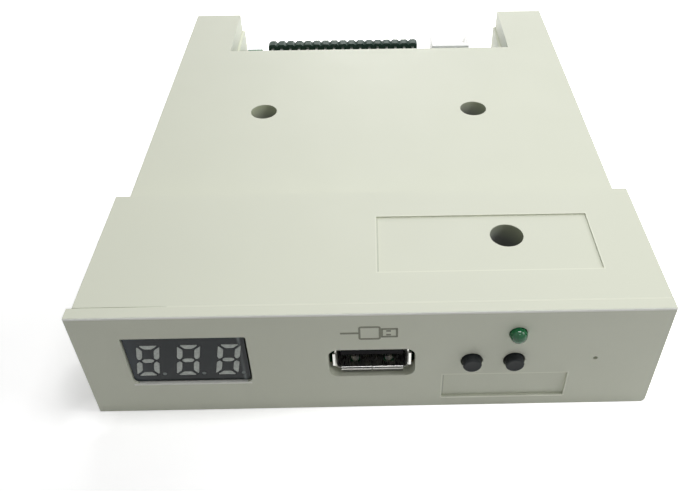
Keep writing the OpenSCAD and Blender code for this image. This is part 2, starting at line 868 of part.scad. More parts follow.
// A leaf cut from the shell and sprung inwards, with a round free end towards the mouth
module socket_leaf() {
    base = -socket_h / 2;
    intersection() {
        along_x(leaf_x - leaf_w, leaf_x + leaf_w) polygon([
            [leaf_y, base + sheet_t], [leaf_y + leaf_w / 2, base + sheet_t + leaf_rise],
            [leaf_y + leaf_l, base + sheet_t], [leaf_y + leaf_l + weld, base + sheet_t],
            [leaf_y + leaf_l + weld, base], [leaf_y + leaf_l, base],
            [leaf_y + leaf_w / 2, base + leaf_rise], [leaf_y, base]
        ]);
        translate([leaf_x, leaf_y + leaf_w / 2, -socket_h]) linear_extrude(socket_h) {
            circle(r = leaf_w / 2);
            translate([-leaf_w / 2, 0]) square([leaf_w, leaf_l]);
        }
    }
}

module leaf_slot_cut() {
    slot_w = leaf_w + 2 * leaf_slot;
    box(leaf_x - slot_w / 2, leaf_x + slot_w / 2, leaf_y - leaf_slot, leaf_y + leaf_l,
        -socket_h / 2 - cut, -socket_h / 2 + sheet_t + cut / 2);
}

module socket_shell() {
    color(metal_color) placed() translate([0, 0, socket_z]) {
        difference() {
            along_y(shell_y, shell_end) difference() {
                rounded_rect(socket_w, socket_h, shell_r);
                rounded_rect(socket_w - 2 * sheet_t, socket_h - 2 * sheet_t, shell_r - sheet_t);
            }
            for (s = [0, 1]) for (t = [0, 1]) mirror([s, 0, 0]) mirror([0, 0, t]) leaf_slot_cut();
        }
        for (s = [0, 1]) for (t = [0, 1]) mirror([s, 0, 0]) mirror([0, 0, t]) socket_leaf();
        socket_lips();
        for (s = [0, 1]) mirror([s, 0, 0]) {
            box(socket_w / 2 - sheet_t, socket_w / 2, leg_y - leg_l / 2, leg_y + leg_l / 2,
                tail_z - socket_z, 0);
        }
    }
}

module socket_contact(x) {
    bent_pin(x, tongue_z - contact_t / 2, tongue_y + contact_back, contact_bend_y, contact_w, contact_t);
}

module socket_insulator() {
    color(black_color) placed() difference() {
        union() {
            translate([0, 0, socket_z]) along_y(tongue_y + tongue_l, shell_end) {
                rounded_rect(socket_w - 2 * sheet_t, socket_h - 2 * sheet_t, shell_r - sheet_t);
            }
            along_x(-tongue_w / 2, tongue_w / 2) polygon([
                [tongue_y, tongue_z + tongue_t / 4], [tongue_y + tongue_t / 4, tongue_z],
                [tongue_y + tongue_l + weld, tongue_z], [tongue_y + tongue_l + weld, tongue_top],
                [tongue_y + tongue_t / 4, tongue_top], [tongue_y, tongue_top - tongue_t / 4]
            ]);
        }
        for (x = contact_xs) socket_contact(x);
    }
}

module socket_contacts() {
    color(gold_color) placed() for (x = contact_xs) socket_contact(x);
}

// Display
function leaned(points) = [for (p = points) [p[0] + (p[1] - digit_h / 2) * tan(digit_lean), p[1]]];

// The seven segments of a digit whose lower left corner is at the origin
function digit_segments() =
    let (w = digit_w, h = digit_h, t = segment_w, g = segment_gap, m = digit_h / 2)
    let (bar = [[g, 0], [w - g, 0], [w - t - g, t], [t + g, t]])
    let (post = [[0, g], [t, t + g], [t, m - t / 2 - g / 2], [t / 2, m - g / 2], [0, m - t / 2 - g / 2]])
    let (middle = [
        [t / 2 + g, m], [t + g, m - t / 2], [w - t - g, m - t / 2], [w - t / 2 - g, m],
        [w - t - g, m + t / 2], [t + g, m + t / 2]
    ])
    [
        bar, post, middle,
        [for (p = bar) [p[0], h - p[1]]], [for (p = post) [p[0], h - p[1]]],
        [for (p = post) [w - p[0], p[1]]], [for (p = post) [w - p[0], h - p[1]]]
    ];

module display_marks() {
    for (i = [-1 : 1]) translate([display_x + i * digit_pitch - digit_w / 2,
            display_z + digit_drop - digit_h / 2]) {
        for (s = digit_segments()) polygon(leaned(s));
        translate([digit_w + dot_gap - digit_h / 2 * tan(digit_lean), dot_r]) circle(r = dot_r);
    }
}

module display_block() {
    color(black_color) placed() difference() {
        along_y(display_back, display_board_y) translate([display_x, display_z]) {
            square([display_w, display_h], center = true);
        }
        along_y(display_back - cut, display_back + segment_d) display_marks();
    }
}

module display_segments() {
    color([0.62, 0.64, 0.62]) placed() along_y(display_back, display_back + segment_d) display_marks();
}

module display_board() {
    color(board_color) placed() along_y(display_board_y, display_board_y + display_board_t) difference() {
        translate([display_x, display_z]) square([display_board_w, display_board_h], center = true);
        for (x = link_xs()) translate([x, link_z]) circle(r = pin_hole_r);
    }
}

module on_display_board() {
    translate([display_x, display_board_y + display_board_t, driver_z]) rotate([-90, 0, 0]) children();
}

module display_driver() {
    color(black_color) placed() on_display_board() translate([0, 0, chip_lift]) {
        chip_body(driver_l, buffer_w, chip_t);
    }
}

module display_driver_leads() {
    color(metal_color) placed() on_display_board() for (s = [0, 1]) mirror([0, s, 0]) {
        lead_row(driver_leads, buffer_pitch, buffer_pitch / 3, buffer_w / 2);
    }
}

// Link between the display's board and the main board
function link_xs() = row_places(link_columns, pin_pitch, display_x);

module link_row() {
    for (x = link_xs()) bent_pin(x, link_z, display_board_y, link_bend_y);
}

module link_header() {
    color(black_color) placed() difference() {
        along_y(link_y, link_y + strip_d) translate([display_x, board_top]) {
            strip_outline(link_columns, pin_pitch);
        }
        link_row();
    }
}

module link_pins() {
    color(gold_color) placed() link_row();
}

// Buttons and switches
module button(x) {
    collar_y = switch_y + switch_plate_t + switch_hole_gap;
    rounding = button_r / 6;
    color(black_color) placed() translate([x, 0, button_z]) {
        rod_y(button_r, rounding - button_out, collar_y + collar_t);
        translate([0, rounding - button_out, 0]) rotate([90, 0, 0]) {
            cylinder(r1 = button_r, r2 = button_r - rounding, h = rounding);
        }
        rod_y(collar_r, collar_y, collar_y + collar_t);
    }
}

module button_left() {
    button(button_left_x);
}

module button_right() {
    button(button_right_x);
}

module switch_bodies() {
    body_y = switch_y + switch_plate_t;
    color(black_color) placed() for (x = button_xs) translate([x, 0, button_z]) difference() {
        box(-switch_w / 2, switch_w / 2, body_y, switch_y + switch_d, -switch_w / 2, switch_w / 2);
        rod_y(cavity_r, body_y - cut, body_y + cavity_d);
    }
}

module switch_covers() {
    color(metal_color) placed() for (x = button_xs) translate([x, 0, button_z]) difference() {
        box(-switch_w / 2, switch_w / 2, switch_y, switch_y + switch_plate_t, -switch_w / 2, switch_w / 2);
        rod_y(button_r + switch_hole_gap, switch_y - cut, switch_y + cut);
    }
}

module switch_domes() {
    floor_y = switch_y + switch_plate_t + cavity_d;
    rim = cavity_r - dome_gap;
    flat = cavity_r / 3;
    color(metal_color) placed() for (x = button_xs) translate([x, floor_y, button_z]) rotate([90, 0, 0]) {
        rotate_extrude() polygon([
            [0, dome_h - dome_t], [flat, dome_h - dome_t], [rim - dome_t, 0], [rim, 0],
            [rim, dome_t], [flat, dome_h], [0, dome_h]
        ]);
    }
}

module switch_leads() {
    back = switch_y + switch_d;
    places = [for (x = button_xs) for (s = [-1, 1]) x + s * switch_w / 3];
    color(metal_color) placed() for (x = places) translate([x, back, 0]) {
        box(-lead_t / 2, lead_t / 2, 0, gull_t, board_top, button_z);
        box(-lead_t / 2, lead_t / 2, 0, lead_t * 2, board_top, board_top + gull_t);
    }
}

// Lamp
function lamp_bend_y() = panel_t + lamp_rim_t + lamp_wire_l;

module lamp_lens() {
    color([0.10, 0.48, 0.30]) placed() translate([lamp_x, 0, lamp_z]) {
        translate([0, lamp_r - lamp_out, 0]) sphere(r = lamp_r);
        rod_y(lamp_r, lamp_r - lamp_out, panel_t + lamp_rim_t);
        rod_y(lamp_rim_r, panel_t, panel_t + lamp_rim_t);
    }
}

module lamp_wires() {
    color(metal_color) placed() for (s = [-1, 1]) {
        bent_pin(lamp_x + s * lamp_wire_x, lamp_z, panel_t + lamp_rim_t, lamp_bend_y(),
            lamp_wire_t, lamp_wire_t);
    }
}

// Data connector
function data_xs() = row_places(data_columns, pin_pitch, data_x);
function data_bend_y(row) = strip_y - pin_pitch / 2 - row * pin_pitch;
function data_pin_z(row) = board_top + (row + 1 / 2) * pin_pitch;

module data_pin_rows() {
    for (row = [0 : data_rows - 1]) {
        for (x = data_xs()) bent_pin(x, data_pin_z(row), header_y + pin_out, data_bend_y(row));
    }
}

module data_header() {
    color(black_color) placed() difference() {
        along_y(strip_y, header_y) translate([data_x, board_top]) strip_outline(data_columns, data_h);
        data_pin_rows();
    }
}

module data_pins() {
    color(gold_color) placed() data_pin_rows();
}

// Power connector
function power_xs() = row_places(power_columns, power_pitch, power_x);
function power_bend_y() = power_y - pin_pitch / 2;

module power_pin_row() {
    for (x = power_xs()) bent_pin(x, power_pin_z, power_end - power_wall, power_bend_y());
}

module power_header() {
    half = power_w / 2;
    color(white_color) placed() difference() {
        translate([power_x, 0, board_top]) difference() {
            box(-half, half, power_y, power_end, 0, power_h);
            box(-half + power_wall, half - power_wall, power_y + power_back, power_end + cut,
                power_wall, power_h + cut);
            box(-half - cut, half + cut, power_y + power_back + power_h, power_end + cut,
                power_h - power_wall, power_h + cut);
        }
        power_pin_row();
    }
}

module power_pins() {
    color(metal_color) placed() power_pin_row();
}

// Drive-number jumper
function jumper_pin_places() = [
    for (x = row_places(jumper_columns, pin_pitch, jumper_x))
        for (y = row_places(jumper_rows, pin_pitch, jumper_y)) [x, y]
];

module jumper_pin_row() {
    for (p = jumper_pin_places()) translate([p[0], p[1], tail_z]) {
        linear_extrude(board_top + jumper_pin_h - tail_z) square(pin_t, center = true);
    }
}

module jumper_header() {
    w = jumper_columns * pin_pitch;
    d = jumper_rows * pin_pitch;
    color(black_color) placed() difference() {
        translate([jumper_x, jumper_y, board_top]) linear_extrude(strip_d) difference() {
            square([w, d], center = true);
            for (i = [0 : jumper_columns]) for (s = [-1, 1]) {
                translate([i * pin_pitch - w / 2, s * d / 2]) rotate(45) square(cell_c, center = true);
            }
        }
        jumper_pin_row();
    }
}

module jumper_pins() {
    color(gold_color) placed() jumper_pin_row();
}

module jumper_cap() {
    low = board_top + strip_d;
    half = jumper_rows * pin_pitch / 2 - pin_t / 4;
    color(black_color) placed() difference() {
        translate([jumper_x, jumper_y, 0]) {
            box(-jumper_cap_w / 2, jumper_cap_w / 2, -half, half, low, low + jumper_cap_h);
        }
        jumper_pin_row();
    }
}

// Chips and small components
module on_board(place) {
    translate([place[0], place[1], board_top]) children();
}

module controller_chip() {
    color(black_color) placed() on_board([0, chip_y]) translate([0, 0, chip_lift]) {
        chip_body(chip_w, chip_w, chip_t);
    }
}

module controller_leads() {
    color(metal_color) placed() on_board([0, chip_y]) for (a = [0 : 90 : 270]) rotate([0, 0, a]) {
        lead_row(chip_leads, chip_pitch, chip_pitch / 2, chip_w / 2);
    }
}

module buffer_chips() {
    color(black_color) placed() for (x = buffer_xs) on_board([x, buffer_y]) translate([0, 0, chip_lift]) {
        chip_body(buffer_l, buffer_w, chip_t);
    }
}

module buffer_leads() {
    color(metal_color) placed() for (x = buffer_xs) on_board([x, buffer_y]) {
        for (s = [0, 1]) mirror([0, s, 0]) {
            lead_row(buffer_lead_count, buffer_pitch, buffer_pitch / 3, buffer_w / 2);
        }
    }
}

module crystal_base() {
    color(metal_color) placed() on_board(crystal_place) linear_extrude(crystal_base_t) {
        rounded_rect(crystal_l, crystal_w, crystal_w / 2 - cut / 10);
    }
}

module crystal_can() {
    rim = crystal_base_t;
    color(metal_color) placed() on_board(crystal_place) translate([0, 0, crystal_base_t]) {
        linear_extrude(crystal_h - crystal_base_t) {
            rounded_rect(crystal_l - 2 * rim, crystal_w - 2 * rim, crystal_w / 2 - rim - cut / 10);
        }
    }
}

module regulator() {
    color(black_color) placed() on_board(regulator_place) translate([0, 0, chip_lift]) {
        chip_body(regulator_w, regulator_d, regulator_t);
    }
}

module regulator_leads() {
    color(metal_color) placed() on_board(regulator_place) {
        lead_row(3, regulator_pitch, regulator_pitch / 3, regulator_d / 2);
        mirror([0, 1, 0]) lead_row(1, regulator_pitch, regulator_w / 2, regulator_d / 2);
    }
}

module capacitor_bases() {
    side = 2 * capacitor_r;
    color(black_color) placed() for (p = capacitor_places) on_board(p) linear_extrude(capacitor_base_h) {
        difference() {
            square(side, center = true);
            for (y = [-1, 1]) translate([side / 2, y * side / 2]) rotate(45) square(side / 4, center = true);
        }
    }
}

module capacitor_cans() {
    bead_z = capacitor_base_h + capacitor_h / 5;
    bead_r = capacitor_r / 12;
    color(metal_color) placed() for (p = capacitor_places) on_board(p) difference() {
        translate([0, 0, capacitor_base_h]) {
            cylinder(r = capacitor_r - bead_r, h = capacitor_h - capacitor_base_h);
        }
        translate([0, 0, bead_z]) rotate_extrude() translate([capacitor_r - bead_r, 0]) circle(r = bead_r);
    }
}

module chip_resistors() {
    color(black_color) placed() for (y = resistor_rows) {
        for (x = row_places(resistor_count, resistor_pitch, 0)) on_board([x, y]) {
            translate([0, 0, resistor_t / 2]) cube([resistor_w, resistor_l, resistor_t], center = true);
        }
    }
}

bottom_case();
top_cover();
case_screws();
main_board();
socket_shell();
socket_insulator();
socket_contacts();
display_block();
display_segments();
display_board();
display_driver();
display_driver_leads();
link_header();
link_pins();
button_left();
button_right();
switch_bodies();
switch_covers();
switch_domes();
switch_leads();
lamp_lens();
lamp_wires();
data_header();
data_pins();
power_header();
power_pins();
jumper_header();
jumper_pins();
jumper_cap();
controller_chip();
controller_leads();
buffer_chips();
buffer_leads();
crystal_can();
crystal_base();
regulator();
regulator_leads();
capacitor_cans();
capacitor_bases();
chip_resistors();
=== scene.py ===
import json
import math

import bmesh
import bpy
from mathutils import Matrix, Quaternion, Vector


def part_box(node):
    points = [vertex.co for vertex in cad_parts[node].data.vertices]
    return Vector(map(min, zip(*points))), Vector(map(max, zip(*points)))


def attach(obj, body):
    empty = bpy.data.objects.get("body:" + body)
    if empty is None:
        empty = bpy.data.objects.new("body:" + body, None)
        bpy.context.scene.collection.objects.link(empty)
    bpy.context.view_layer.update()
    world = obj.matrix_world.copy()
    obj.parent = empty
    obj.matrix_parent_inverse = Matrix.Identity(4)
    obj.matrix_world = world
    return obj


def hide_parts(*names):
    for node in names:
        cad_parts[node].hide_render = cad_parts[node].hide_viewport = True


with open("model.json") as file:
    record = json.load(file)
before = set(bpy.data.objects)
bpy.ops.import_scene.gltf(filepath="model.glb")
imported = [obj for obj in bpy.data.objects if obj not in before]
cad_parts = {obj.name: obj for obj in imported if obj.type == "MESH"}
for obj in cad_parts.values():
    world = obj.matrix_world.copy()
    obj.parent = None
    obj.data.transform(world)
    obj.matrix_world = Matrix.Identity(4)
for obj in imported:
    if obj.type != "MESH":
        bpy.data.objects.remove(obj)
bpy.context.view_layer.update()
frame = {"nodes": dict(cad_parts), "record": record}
nodes = frame["nodes"]
scene = bpy.context.scene

MM = 0.001


# Colour and node helpers

def tint(red, green, blue):
    """A colour given as screen values from 0 to 255, as the linear values that a shader takes."""
    def linear(value):
        share = value / 255
        return share / 12.92 if share <= 0.04045 else ((share + 0.055) / 1.055) ** 2.4
    return (linear(red), linear(green), linear(blue), 1.0)


def grey(level):
    """A grey given as a shader's own linear value."""
    return (level, level, level, 1.0)


class Wire:
    """One output socket in a node tree. Sums and products of wires become Math nodes."""

    def __init__(self, tree, socket=None):
        self.tree = tree
        self.socket = socket

    def node(self, kind, settings=None, inputs=None, out=0):
        """Adds a node, with its settings first and then the values or wires of its inputs."""
        made = self.tree.nodes.new(kind)
        for key, value in (settings or {}).items():
            setattr(made, key, value)
        for key, value in (inputs or {}).items():
            if isinstance(value, Wire):
                self.tree.links.new(value.socket, made.inputs[key])
            else:
                made.inputs[key].default_value = value
        return Wire(self.tree, made.outputs[out] if made.outputs else None)

    def math(self, operation, first, second=0.0):
        return self.node("ShaderNodeMath", {"operation": operation}, {0: first, 1: second})

    def __add__(self, other):
        return self.math("ADD", self, other)

    def __radd__(self, other):
        return self.math("ADD", other, self)

    def __sub__(self, other):
        return self.math("SUBTRACT", self, other)

    def __rsub__(self, other):
        return self.math("SUBTRACT", other, self)

    def __mul__(self, other):
        return self.math("MULTIPLY", self, other)

    def __rmul__(self, other):
        return self.math("MULTIPLY", other, self)

    def __truediv__(self, other):
        return self.math("DIVIDE", self, other)

    def __lt__(self, other):
        return self.math("LESS_THAN", self, other)

    def __gt__(self, other):
        return self.math("GREATER_THAN", self, other)

    def __abs__(self):
        return self.math("ABSOLUTE", self)

    def at_least(self, other):
        return self.math("MAXIMUM", self, other)

    def at_most(self, other):
        return self.math("MINIMUM", self, other)

    def fraction(self):
        return self.math("FRACT", self)

    def floor(self):
        return self.math("FLOOR", self)

    def between(self, low, high):
        """A number that runs from low to high as self runs from 0 to 1."""
        return low + self * (high - low)

    def cloud(self, size, detail=2.0, harshness=0.5):
        """Noise from 0 to 1 in patches about size millimetres across, with self as the place."""
        return self.node("ShaderNodeTexNoise", inputs={
            "Vector": self, "Scale": 1 / (size * MM), "Detail": detail, "Roughness": harshness,
        }, out="Fac")

    def stretched(self, x, y, z):
        """The place, with its axes scaled, so that a pattern on it runs along one of them."""
        return self.node("ShaderNodeMapping", inputs={
            "Vector": self, "Scale": (x, y, z),
        }, out="Vector")

    def axis(self, name):
        return self.node("ShaderNodeSeparateXYZ", inputs={"Vector": self}, out=name)

    def blend(self, low, high):
        """The colour low where self is 0 and high where it is 1, by the node's colour sockets."""
        return self.node("ShaderNodeMix", {"data_type": "RGBA"}, {0: self, 6: low, 7: high}, 2)

    def relief(self, depth, strength):
        """A normal that follows self as a height, depth millimetres from lowest to highest."""
        return self.node("ShaderNodeBump", inputs={
            "Height": self, "Distance": depth * MM, "Strength": strength,
        }, out="Normal")


def new_finish(name):
    """An empty material, and its place in the object's own coordinates."""
    material = bpy.data.materials.new(name)
    material.use_nodes = True
    material.node_tree.nodes.clear()
    place = Wire(material.node_tree).node("ShaderNodeTexCoord", out="Object")
    return material, place


def close_finish(material, place, **sockets):
    """Ends a material in one shader. Socket names are given with _ for a space."""
    named = {key.replace("_", " "): value for key, value in sockets.items()}
    shader = place.node("ShaderNodeBsdfPrincipled", inputs=named, out="BSDF")
    place.node("ShaderNodeOutputMaterial", inputs={"Surface": shader})
    return material


def band(value, low, high):
    """1 where a value lies between two limits, and 0 elsewhere."""
    return (value > low) * (value < high)


def beyond(first, second, rectangle):
    """How far a place lies outside a rectangle, in millimetres, and below 0 inside it."""
    left, right, low, high = rectangle
    sideways = abs(first - (left + right) / 2) - (right - left) / 2
    lengthways = abs(second - (low + high) / 2) - (high - low) / 2
    return sideways.at_least(lengthways)


def seen_by_camera(start):
    """1 for what the camera sees, in mirrors and through clear resin too, and 0 for other light."""
    seen = start.node("ShaderNodeLightPath", out="Is Camera Ray")
    mirrored = start.node("ShaderNodeLightPath", out="Is Glossy Ray")
    through = start.node("ShaderNodeLightPath", out="Is Transmission Ray")
    return seen + mirrored + through


# The case, in millimetres

PANEL_Y = -61.6                        # the panel's front
PANEL_TOP = 25.4                       # top of the panel and of the cover's raised part
JOINT = (-59.2, -59.1)                 # from the panel to the cover
JOINT_SHUT = -34.0                     # to the left of this, the joint's bead sinks
FRONT_LABEL = (12.6, 35.0, 2.7, 9.1)   # recess in the panel: left, right, low, high
TOP_LABEL = (1.2, 40.9, -51.7, -36.7)  # recess in the cover: left, right, near, far
WINDOW_GAP = Vector((0.2, 0, 0.2))     # room round the display in its window
WELLS = (                              # x, y, rim, painted shade at the rim, painted shade gained to the left
    (25.2, -42.3, 25.05, 1.4, 0.5),
    (-25.2, 9.8, 20.1, 0.0, 0.0),
    (25.2, 9.8, 20.1, 0.8, 0.5),
)
WELL_R = 3.25                          # just outside the wells' walls
WELL_FLOOR = 1.0
WELL_EDGE = 0.15                       # the rim left without painted shade
WELL_FADE = 5.0                        # depth at which the painted shade is full

# The tints on the case, most of them painted highlights and painted shade: widths in millimetres,
# then strengths from 0 to 1

SKIN = 0.05
LABEL_DEPTH = 0.6
RIM_HIGHLIGHT_W = 0.25
SILL_HIGHLIGHT_W = 0.4
BROW_HIGHLIGHT_W = 0.45
CORNER_SHADE_W = 0.3

SPECK_TINT = 0.55
FRONT_RIM_HIGHLIGHT = 0.5
TOP_RIM_HIGHLIGHT = 0.3
LABEL_SILL_HIGHLIGHT = 0.85
WINDOW_SILL_HIGHLIGHT = 0.7
BROW_HIGHLIGHT = 0.85


# Finishes

def painted_well_shade(across, along, up):
    """Painted shade in the screw wells: 1 on their walls, and how deep in its well a place on them
    lies, with more at some rims and to the left.
    """
    shaded_walls = 0.0
    depth = 0.0
    for x, y, rim, start, lean in WELLS:
        aside = across - x
        ahead = along - y
        inside = aside * aside + ahead * ahead < WELL_R * WELL_R
        wall = inside * band(up, WELL_FLOOR, rim - WELL_EDGE)
        shaded_walls = shaded_walls + wall
        depth = depth + wall * (start + rim - up - lean * aside)
    return shaded_walls, depth


def case_plastic(window_low, window_high):
    """The case's plastic: painted highlights make it paler at the rims of its recesses, joint and
    window, and painted shade makes it darker in its label corners and wells.
    """
    material, place = new_finish("case_plastic")
    across, along, up = (place.axis(name) / MM for name in "XYZ")
    panel = along < PANEL_Y + SKIN
    top = up > PANEL_TOP - SKIN
    in_panel = band(along, PANEL_Y + SKIN, PANEL_Y + LABEL_DEPTH)
    in_cover = band(up, PANEL_TOP - LABEL_DEPTH, PANEL_TOP - SKIN)
    front_left, front_right, front_low, front_high = FRONT_LABEL
    top_left, _, top_near, top_far = TOP_LABEL

    tone = place.cloud(55).blend(tint(221, 224, 206), tint(216, 219, 203))
    speck_cell = 24
    speck_r = 0.11
    specks = place.node("ShaderNodeTexVoronoi", inputs={
        "Vector": place, "Scale": 1 / (speck_cell * MM),
    }, out="Distance") < speck_r / speck_cell
    dusty = (specks * SPECK_TINT).blend(tone, tint(120, 118, 104))

    # Painted highlights: pale lines round the labels' recesses and along the joint's right part
    front_rim_highlight = panel * band(beyond(across, up, FRONT_LABEL), 0, RIM_HIGHLIGHT_W)
    top_rim_highlight = top * band(beyond(across, along, TOP_LABEL), 0, RIM_HIGHLIGHT_W)
    joint_line = band(along, JOINT[0] - RIM_HIGHLIGHT_W / 2, JOINT[1] + RIM_HIGHLIGHT_W / 2)
    joint_highlight = top * (across > JOINT_SHUT) * joint_line
    # Painted highlight: a pale sill under the front label's recess
    label_line = band(across, front_left, front_right) * band(up, front_low - SILL_HIGHLIGHT_W, front_low)
    rim_highlights = FRONT_RIM_HIGHLIGHT * front_rim_highlight + TOP_RIM_HIGHLIGHT * (top_rim_highlight + joint_highlight)
    label_sill_highlight = LABEL_SILL_HIGHLIGHT * panel * label_line
    with_rim_and_sill_highlights = rim_highlights.at_least(label_sill_highlight).blend(dusty, tint(246, 248, 232))

    # Painted light: the display window's lower wall, a sill under it and a brow along the panel's
    # top edge are made paler
    window_line = band(up, window_low.z - SILL_HIGHLIGHT_W, window_low.z + SKIN)
    window_sill_highlight = band(across, window_low.x, window_high.x) * window_line
    brow_highlight = (along < PANEL_Y + BROW_HIGHLIGHT_W) * band(up, PANEL_TOP - BROW_HIGHLIGHT_W, PANEL_TOP - SKIN / 2)
    pale = (window_sill_highlight * (WINDOW_SILL_HIGHLIGHT * panel + in_panel)).at_least(BROW_HIGHLIGHT * brow_highlight)
    with_sill_highlights = pale.blend(with_rim_and_sill_highlights, tint(252, 253, 247))

    # Painted shade: a dark strip in each label's recess along its left wall, where shade falls in
    # the corner
    front_corner_shade = band(across, front_left, front_left + CORNER_SHADE_W) * band(up, front_low, front_high)
    top_corner_shade = band(across, top_left, top_left + CORNER_SHADE_W) * band(along, top_near, top_far)
    label_corner_shade = in_panel * front_corner_shade + in_cover * top_corner_shade
    with_corner_shade = label_corner_shade.blend(with_sill_highlights, tint(190, 193, 178))

    # Painted shade on the wells' walls, darker the deeper a place lies and further to the left
    shaded_walls, depth = painted_well_shade(across, along, up)
    shade_fade = (depth / WELL_FADE).at_most(1.0)
    shade = shade_fade.blend(tint(208, 215, 186), tint(138, 140, 137))
    return close_finish(
        material, place,
        Base_Color=shaded_walls.blend(with_corner_shade, shade),
        Roughness=place.cloud(9, detail=3).between(0.44, 0.56),
        Specular_IOR_Level=0.4,
        Normal=place.cloud(0.2, detail=3, harshness=0.6).relief(depth=0.012, strength=0.6),
    )


def moulded_plastic(name, dark, light, roughness, gloss=0.5):
    """A moulded plastic of one colour, with cloudy tone and a fine skin."""
    material, place = new_finish(name)
    drift = 0.06
    return close_finish(
        material, place,
        Base_Color=place.cloud(1.6, detail=3).blend(dark, light),
        Roughness=place.cloud(0.6).between(roughness - drift, roughness + drift),
        Specular_IOR_Level=gloss,
        Normal=place.cloud(0.12).relief(depth=0.01, strength=0.5),
    )


# How a metal's drawing lines are scaled along each axis, and their width in millimetres

EVEN = (1, 1, 1)
DRAWN_Y = (1, 0.1, 1)
DRAWN_Z = (1, 1, 0.1)
DRAW_LINE = 0.12


def plated_metal(name, dull, bright, roughness, drawn=EVEN):
    """A plated metal with faint drawing lines along one axis and cloudy gloss."""
    material, place = new_finish(name)
    drift = 0.05
    lines = place.stretched(*drawn).cloud(DRAW_LINE)
    return close_finish(
        material, place,
        Base_Color=place.cloud(0.9).blend(dull, bright),
        Metallic=1.0,
        Roughness=lines.between(roughness - drift, roughness + drift),
        Normal=lines.relief(depth=0.002, strength=0.4),
    )


def socket_plating(board_top):
    """Plated sheet. On the mouth's lower lip, painted shade darkens the bend, a painted highlight
    lightens the matt flat, and the dull edge is darker.
    """
    material, place = new_finish("socket_metal")
    along, up = (place.axis(name) / MM for name in "YZ")
    mouth = PANEL_Y + 0.82
    lip_end = PANEL_Y + 1.36
    bend_low = board_top + 0.1
    bend_high = board_top + 0.24
    flat_matt = 0.6
    bend_matt = 0.4
    lines = place.stretched(*DRAWN_Y).cloud(DRAW_LINE)
    # Painted shade on the bend and a painted highlight on the flat; the edge before the mouth is
    # made darker
    shaded_bend = (along < lip_end) * band(up, bend_low, bend_high)
    highlit_flat = band(along, mouth, lip_end) * band(up, bend_low - SKIN, bend_low)
    edge = (along < mouth) * (up < bend_low)
    sheet = place.cloud(0.9).blend(tint(200, 200, 196), tint(228, 228, 223))
    with_flat_highlight = highlit_flat.blend(sheet, tint(250, 250, 246))
    with_edge_shade = edge.blend(with_flat_highlight, tint(120, 120, 117))
    return close_finish(
        material, place,
        Base_Color=shaded_bend.blend(with_edge_shade, tint(16, 16, 15)),
        Metallic=1.0,
        Roughness=lines.between(0.23, 0.33) + highlit_flat * flat_matt + shaded_bend * bend_matt,
        Normal=lines.relief(depth=0.002, strength=0.4),
    )


def solder_mask(name, axis, low, high):
    """A circuit board: green lacquer over copper tracks, and bare glass cloth at the cut edges."""
    material, place = new_finish(name)
    across, along = ("X", "Z") if axis == "Y" else ("X", "Y")
    track_pitch = 1.27 * MM
    track_share = 0.34
    run_l = 11 * MM
    bare_runs = 0.35
    skin = 0.02 * MM
    edge_matt = 0.5
    unevenness = 0.2
    lane = place.axis(across) / track_pitch
    run = place.axis(along) / run_l
    cell = place.node("ShaderNodeCombineXYZ", inputs={"X": lane.floor(), "Y": run.floor()})
    picked = place.node(
        "ShaderNodeTexWhiteNoise", {"noise_dimensions": "2D"}, {"Vector": cell}, "Value",
    ) > bare_runs
    tracks = (abs(lane.fraction() - 0.5) < track_share / 2) * picked
    mask = tracks.blend(tint(16, 82, 48), tint(38, 118, 70))
    edge = band(place.axis(axis), low + skin, high - skin)
    cloth = place.stretched(1, 1, 6).cloud(0.3, detail=3)
    glass = cloth.blend(tint(150, 142, 92), tint(176, 166, 112))
    return close_finish(
        material, place,
        Base_Color=edge.blend(mask, glass),
        Roughness=place.cloud(2).between(0.22, 0.3) + edge * edge_matt,
        Normal=(tracks + place.cloud(0.5) * unevenness).relief(depth=0.02, strength=0.6),
    )


def display_glass(low, high):
    """The display's dark face, paler towards its left end and with a painted reflection, a pale
    stripe, near its right end.
    """
    material, place = new_finish("display_glass")
    across = place.axis("X") / MM
    paling_w = 4.0
    paling_tint = 0.6
    edge_in = 0.95
    edge_w = 0.42
    reflection_tint = 0.3
    reflection_ends_tint = 0.6
    half_h = (high.z - low.z) / 2
    face = place.cloud(6).blend(tint(28, 34, 36), tint(36, 43, 45))
    # Paler towards the left end
    left_paling = (1 - (across - low.x) / paling_w).at_least(0.0)
    paled_left = (left_paling * paling_tint).blend(face, tint(58, 68, 76))
    # Painted reflection: a pale stripe near the right end, brighter towards its top and bottom
    edge = (1 - abs(across - (high.x - edge_in)) / edge_w).at_least(0.0)
    reach = abs(place.axis("Z") / MM - (low.z + half_h)) / half_h
    reflection_level = edge * (reflection_tint + reflection_ends_tint * reach * reach)
    return close_finish(
        material, place,
        Base_Color=reflection_level.blend(paled_left, tint(132, 140, 140)),
        Roughness=place.cloud(4).between(0.22, 0.26),
        Specular_IOR_Level=0.25,
        Normal=place.cloud(5).relief(depth=0.006, strength=0.3),
    )


def segment_resin(low, high):
    """The display's pale segments, with dimmer points. low and high are the box of all of them."""
    material, place = new_finish("segment_resin")
    pitch = 7.0
    point_r = 0.42
    around = 0.13
    last = high.x - point_r
    aside = ((place.axis("X") / MM - last) / pitch + 0.5).fraction() - 0.5
    in_row = place.axis("Z") / MM < low.z + 2 * point_r + around
    point = (abs(aside) < (point_r + around) / pitch) * in_row
    mottle = place.cloud(0.5, detail=3, harshness=0.6)
    pale = mottle.blend(tint(142, 149, 145), tint(230, 235, 228))
    return close_finish(
        material, place,
        Base_Color=point.blend(pale, tint(112, 119, 118)),
        Roughness=place.cloud(0.6).between(0.44, 0.56),
        Normal=place.cloud(0.4).relief(depth=0.01, strength=0.5),
    )


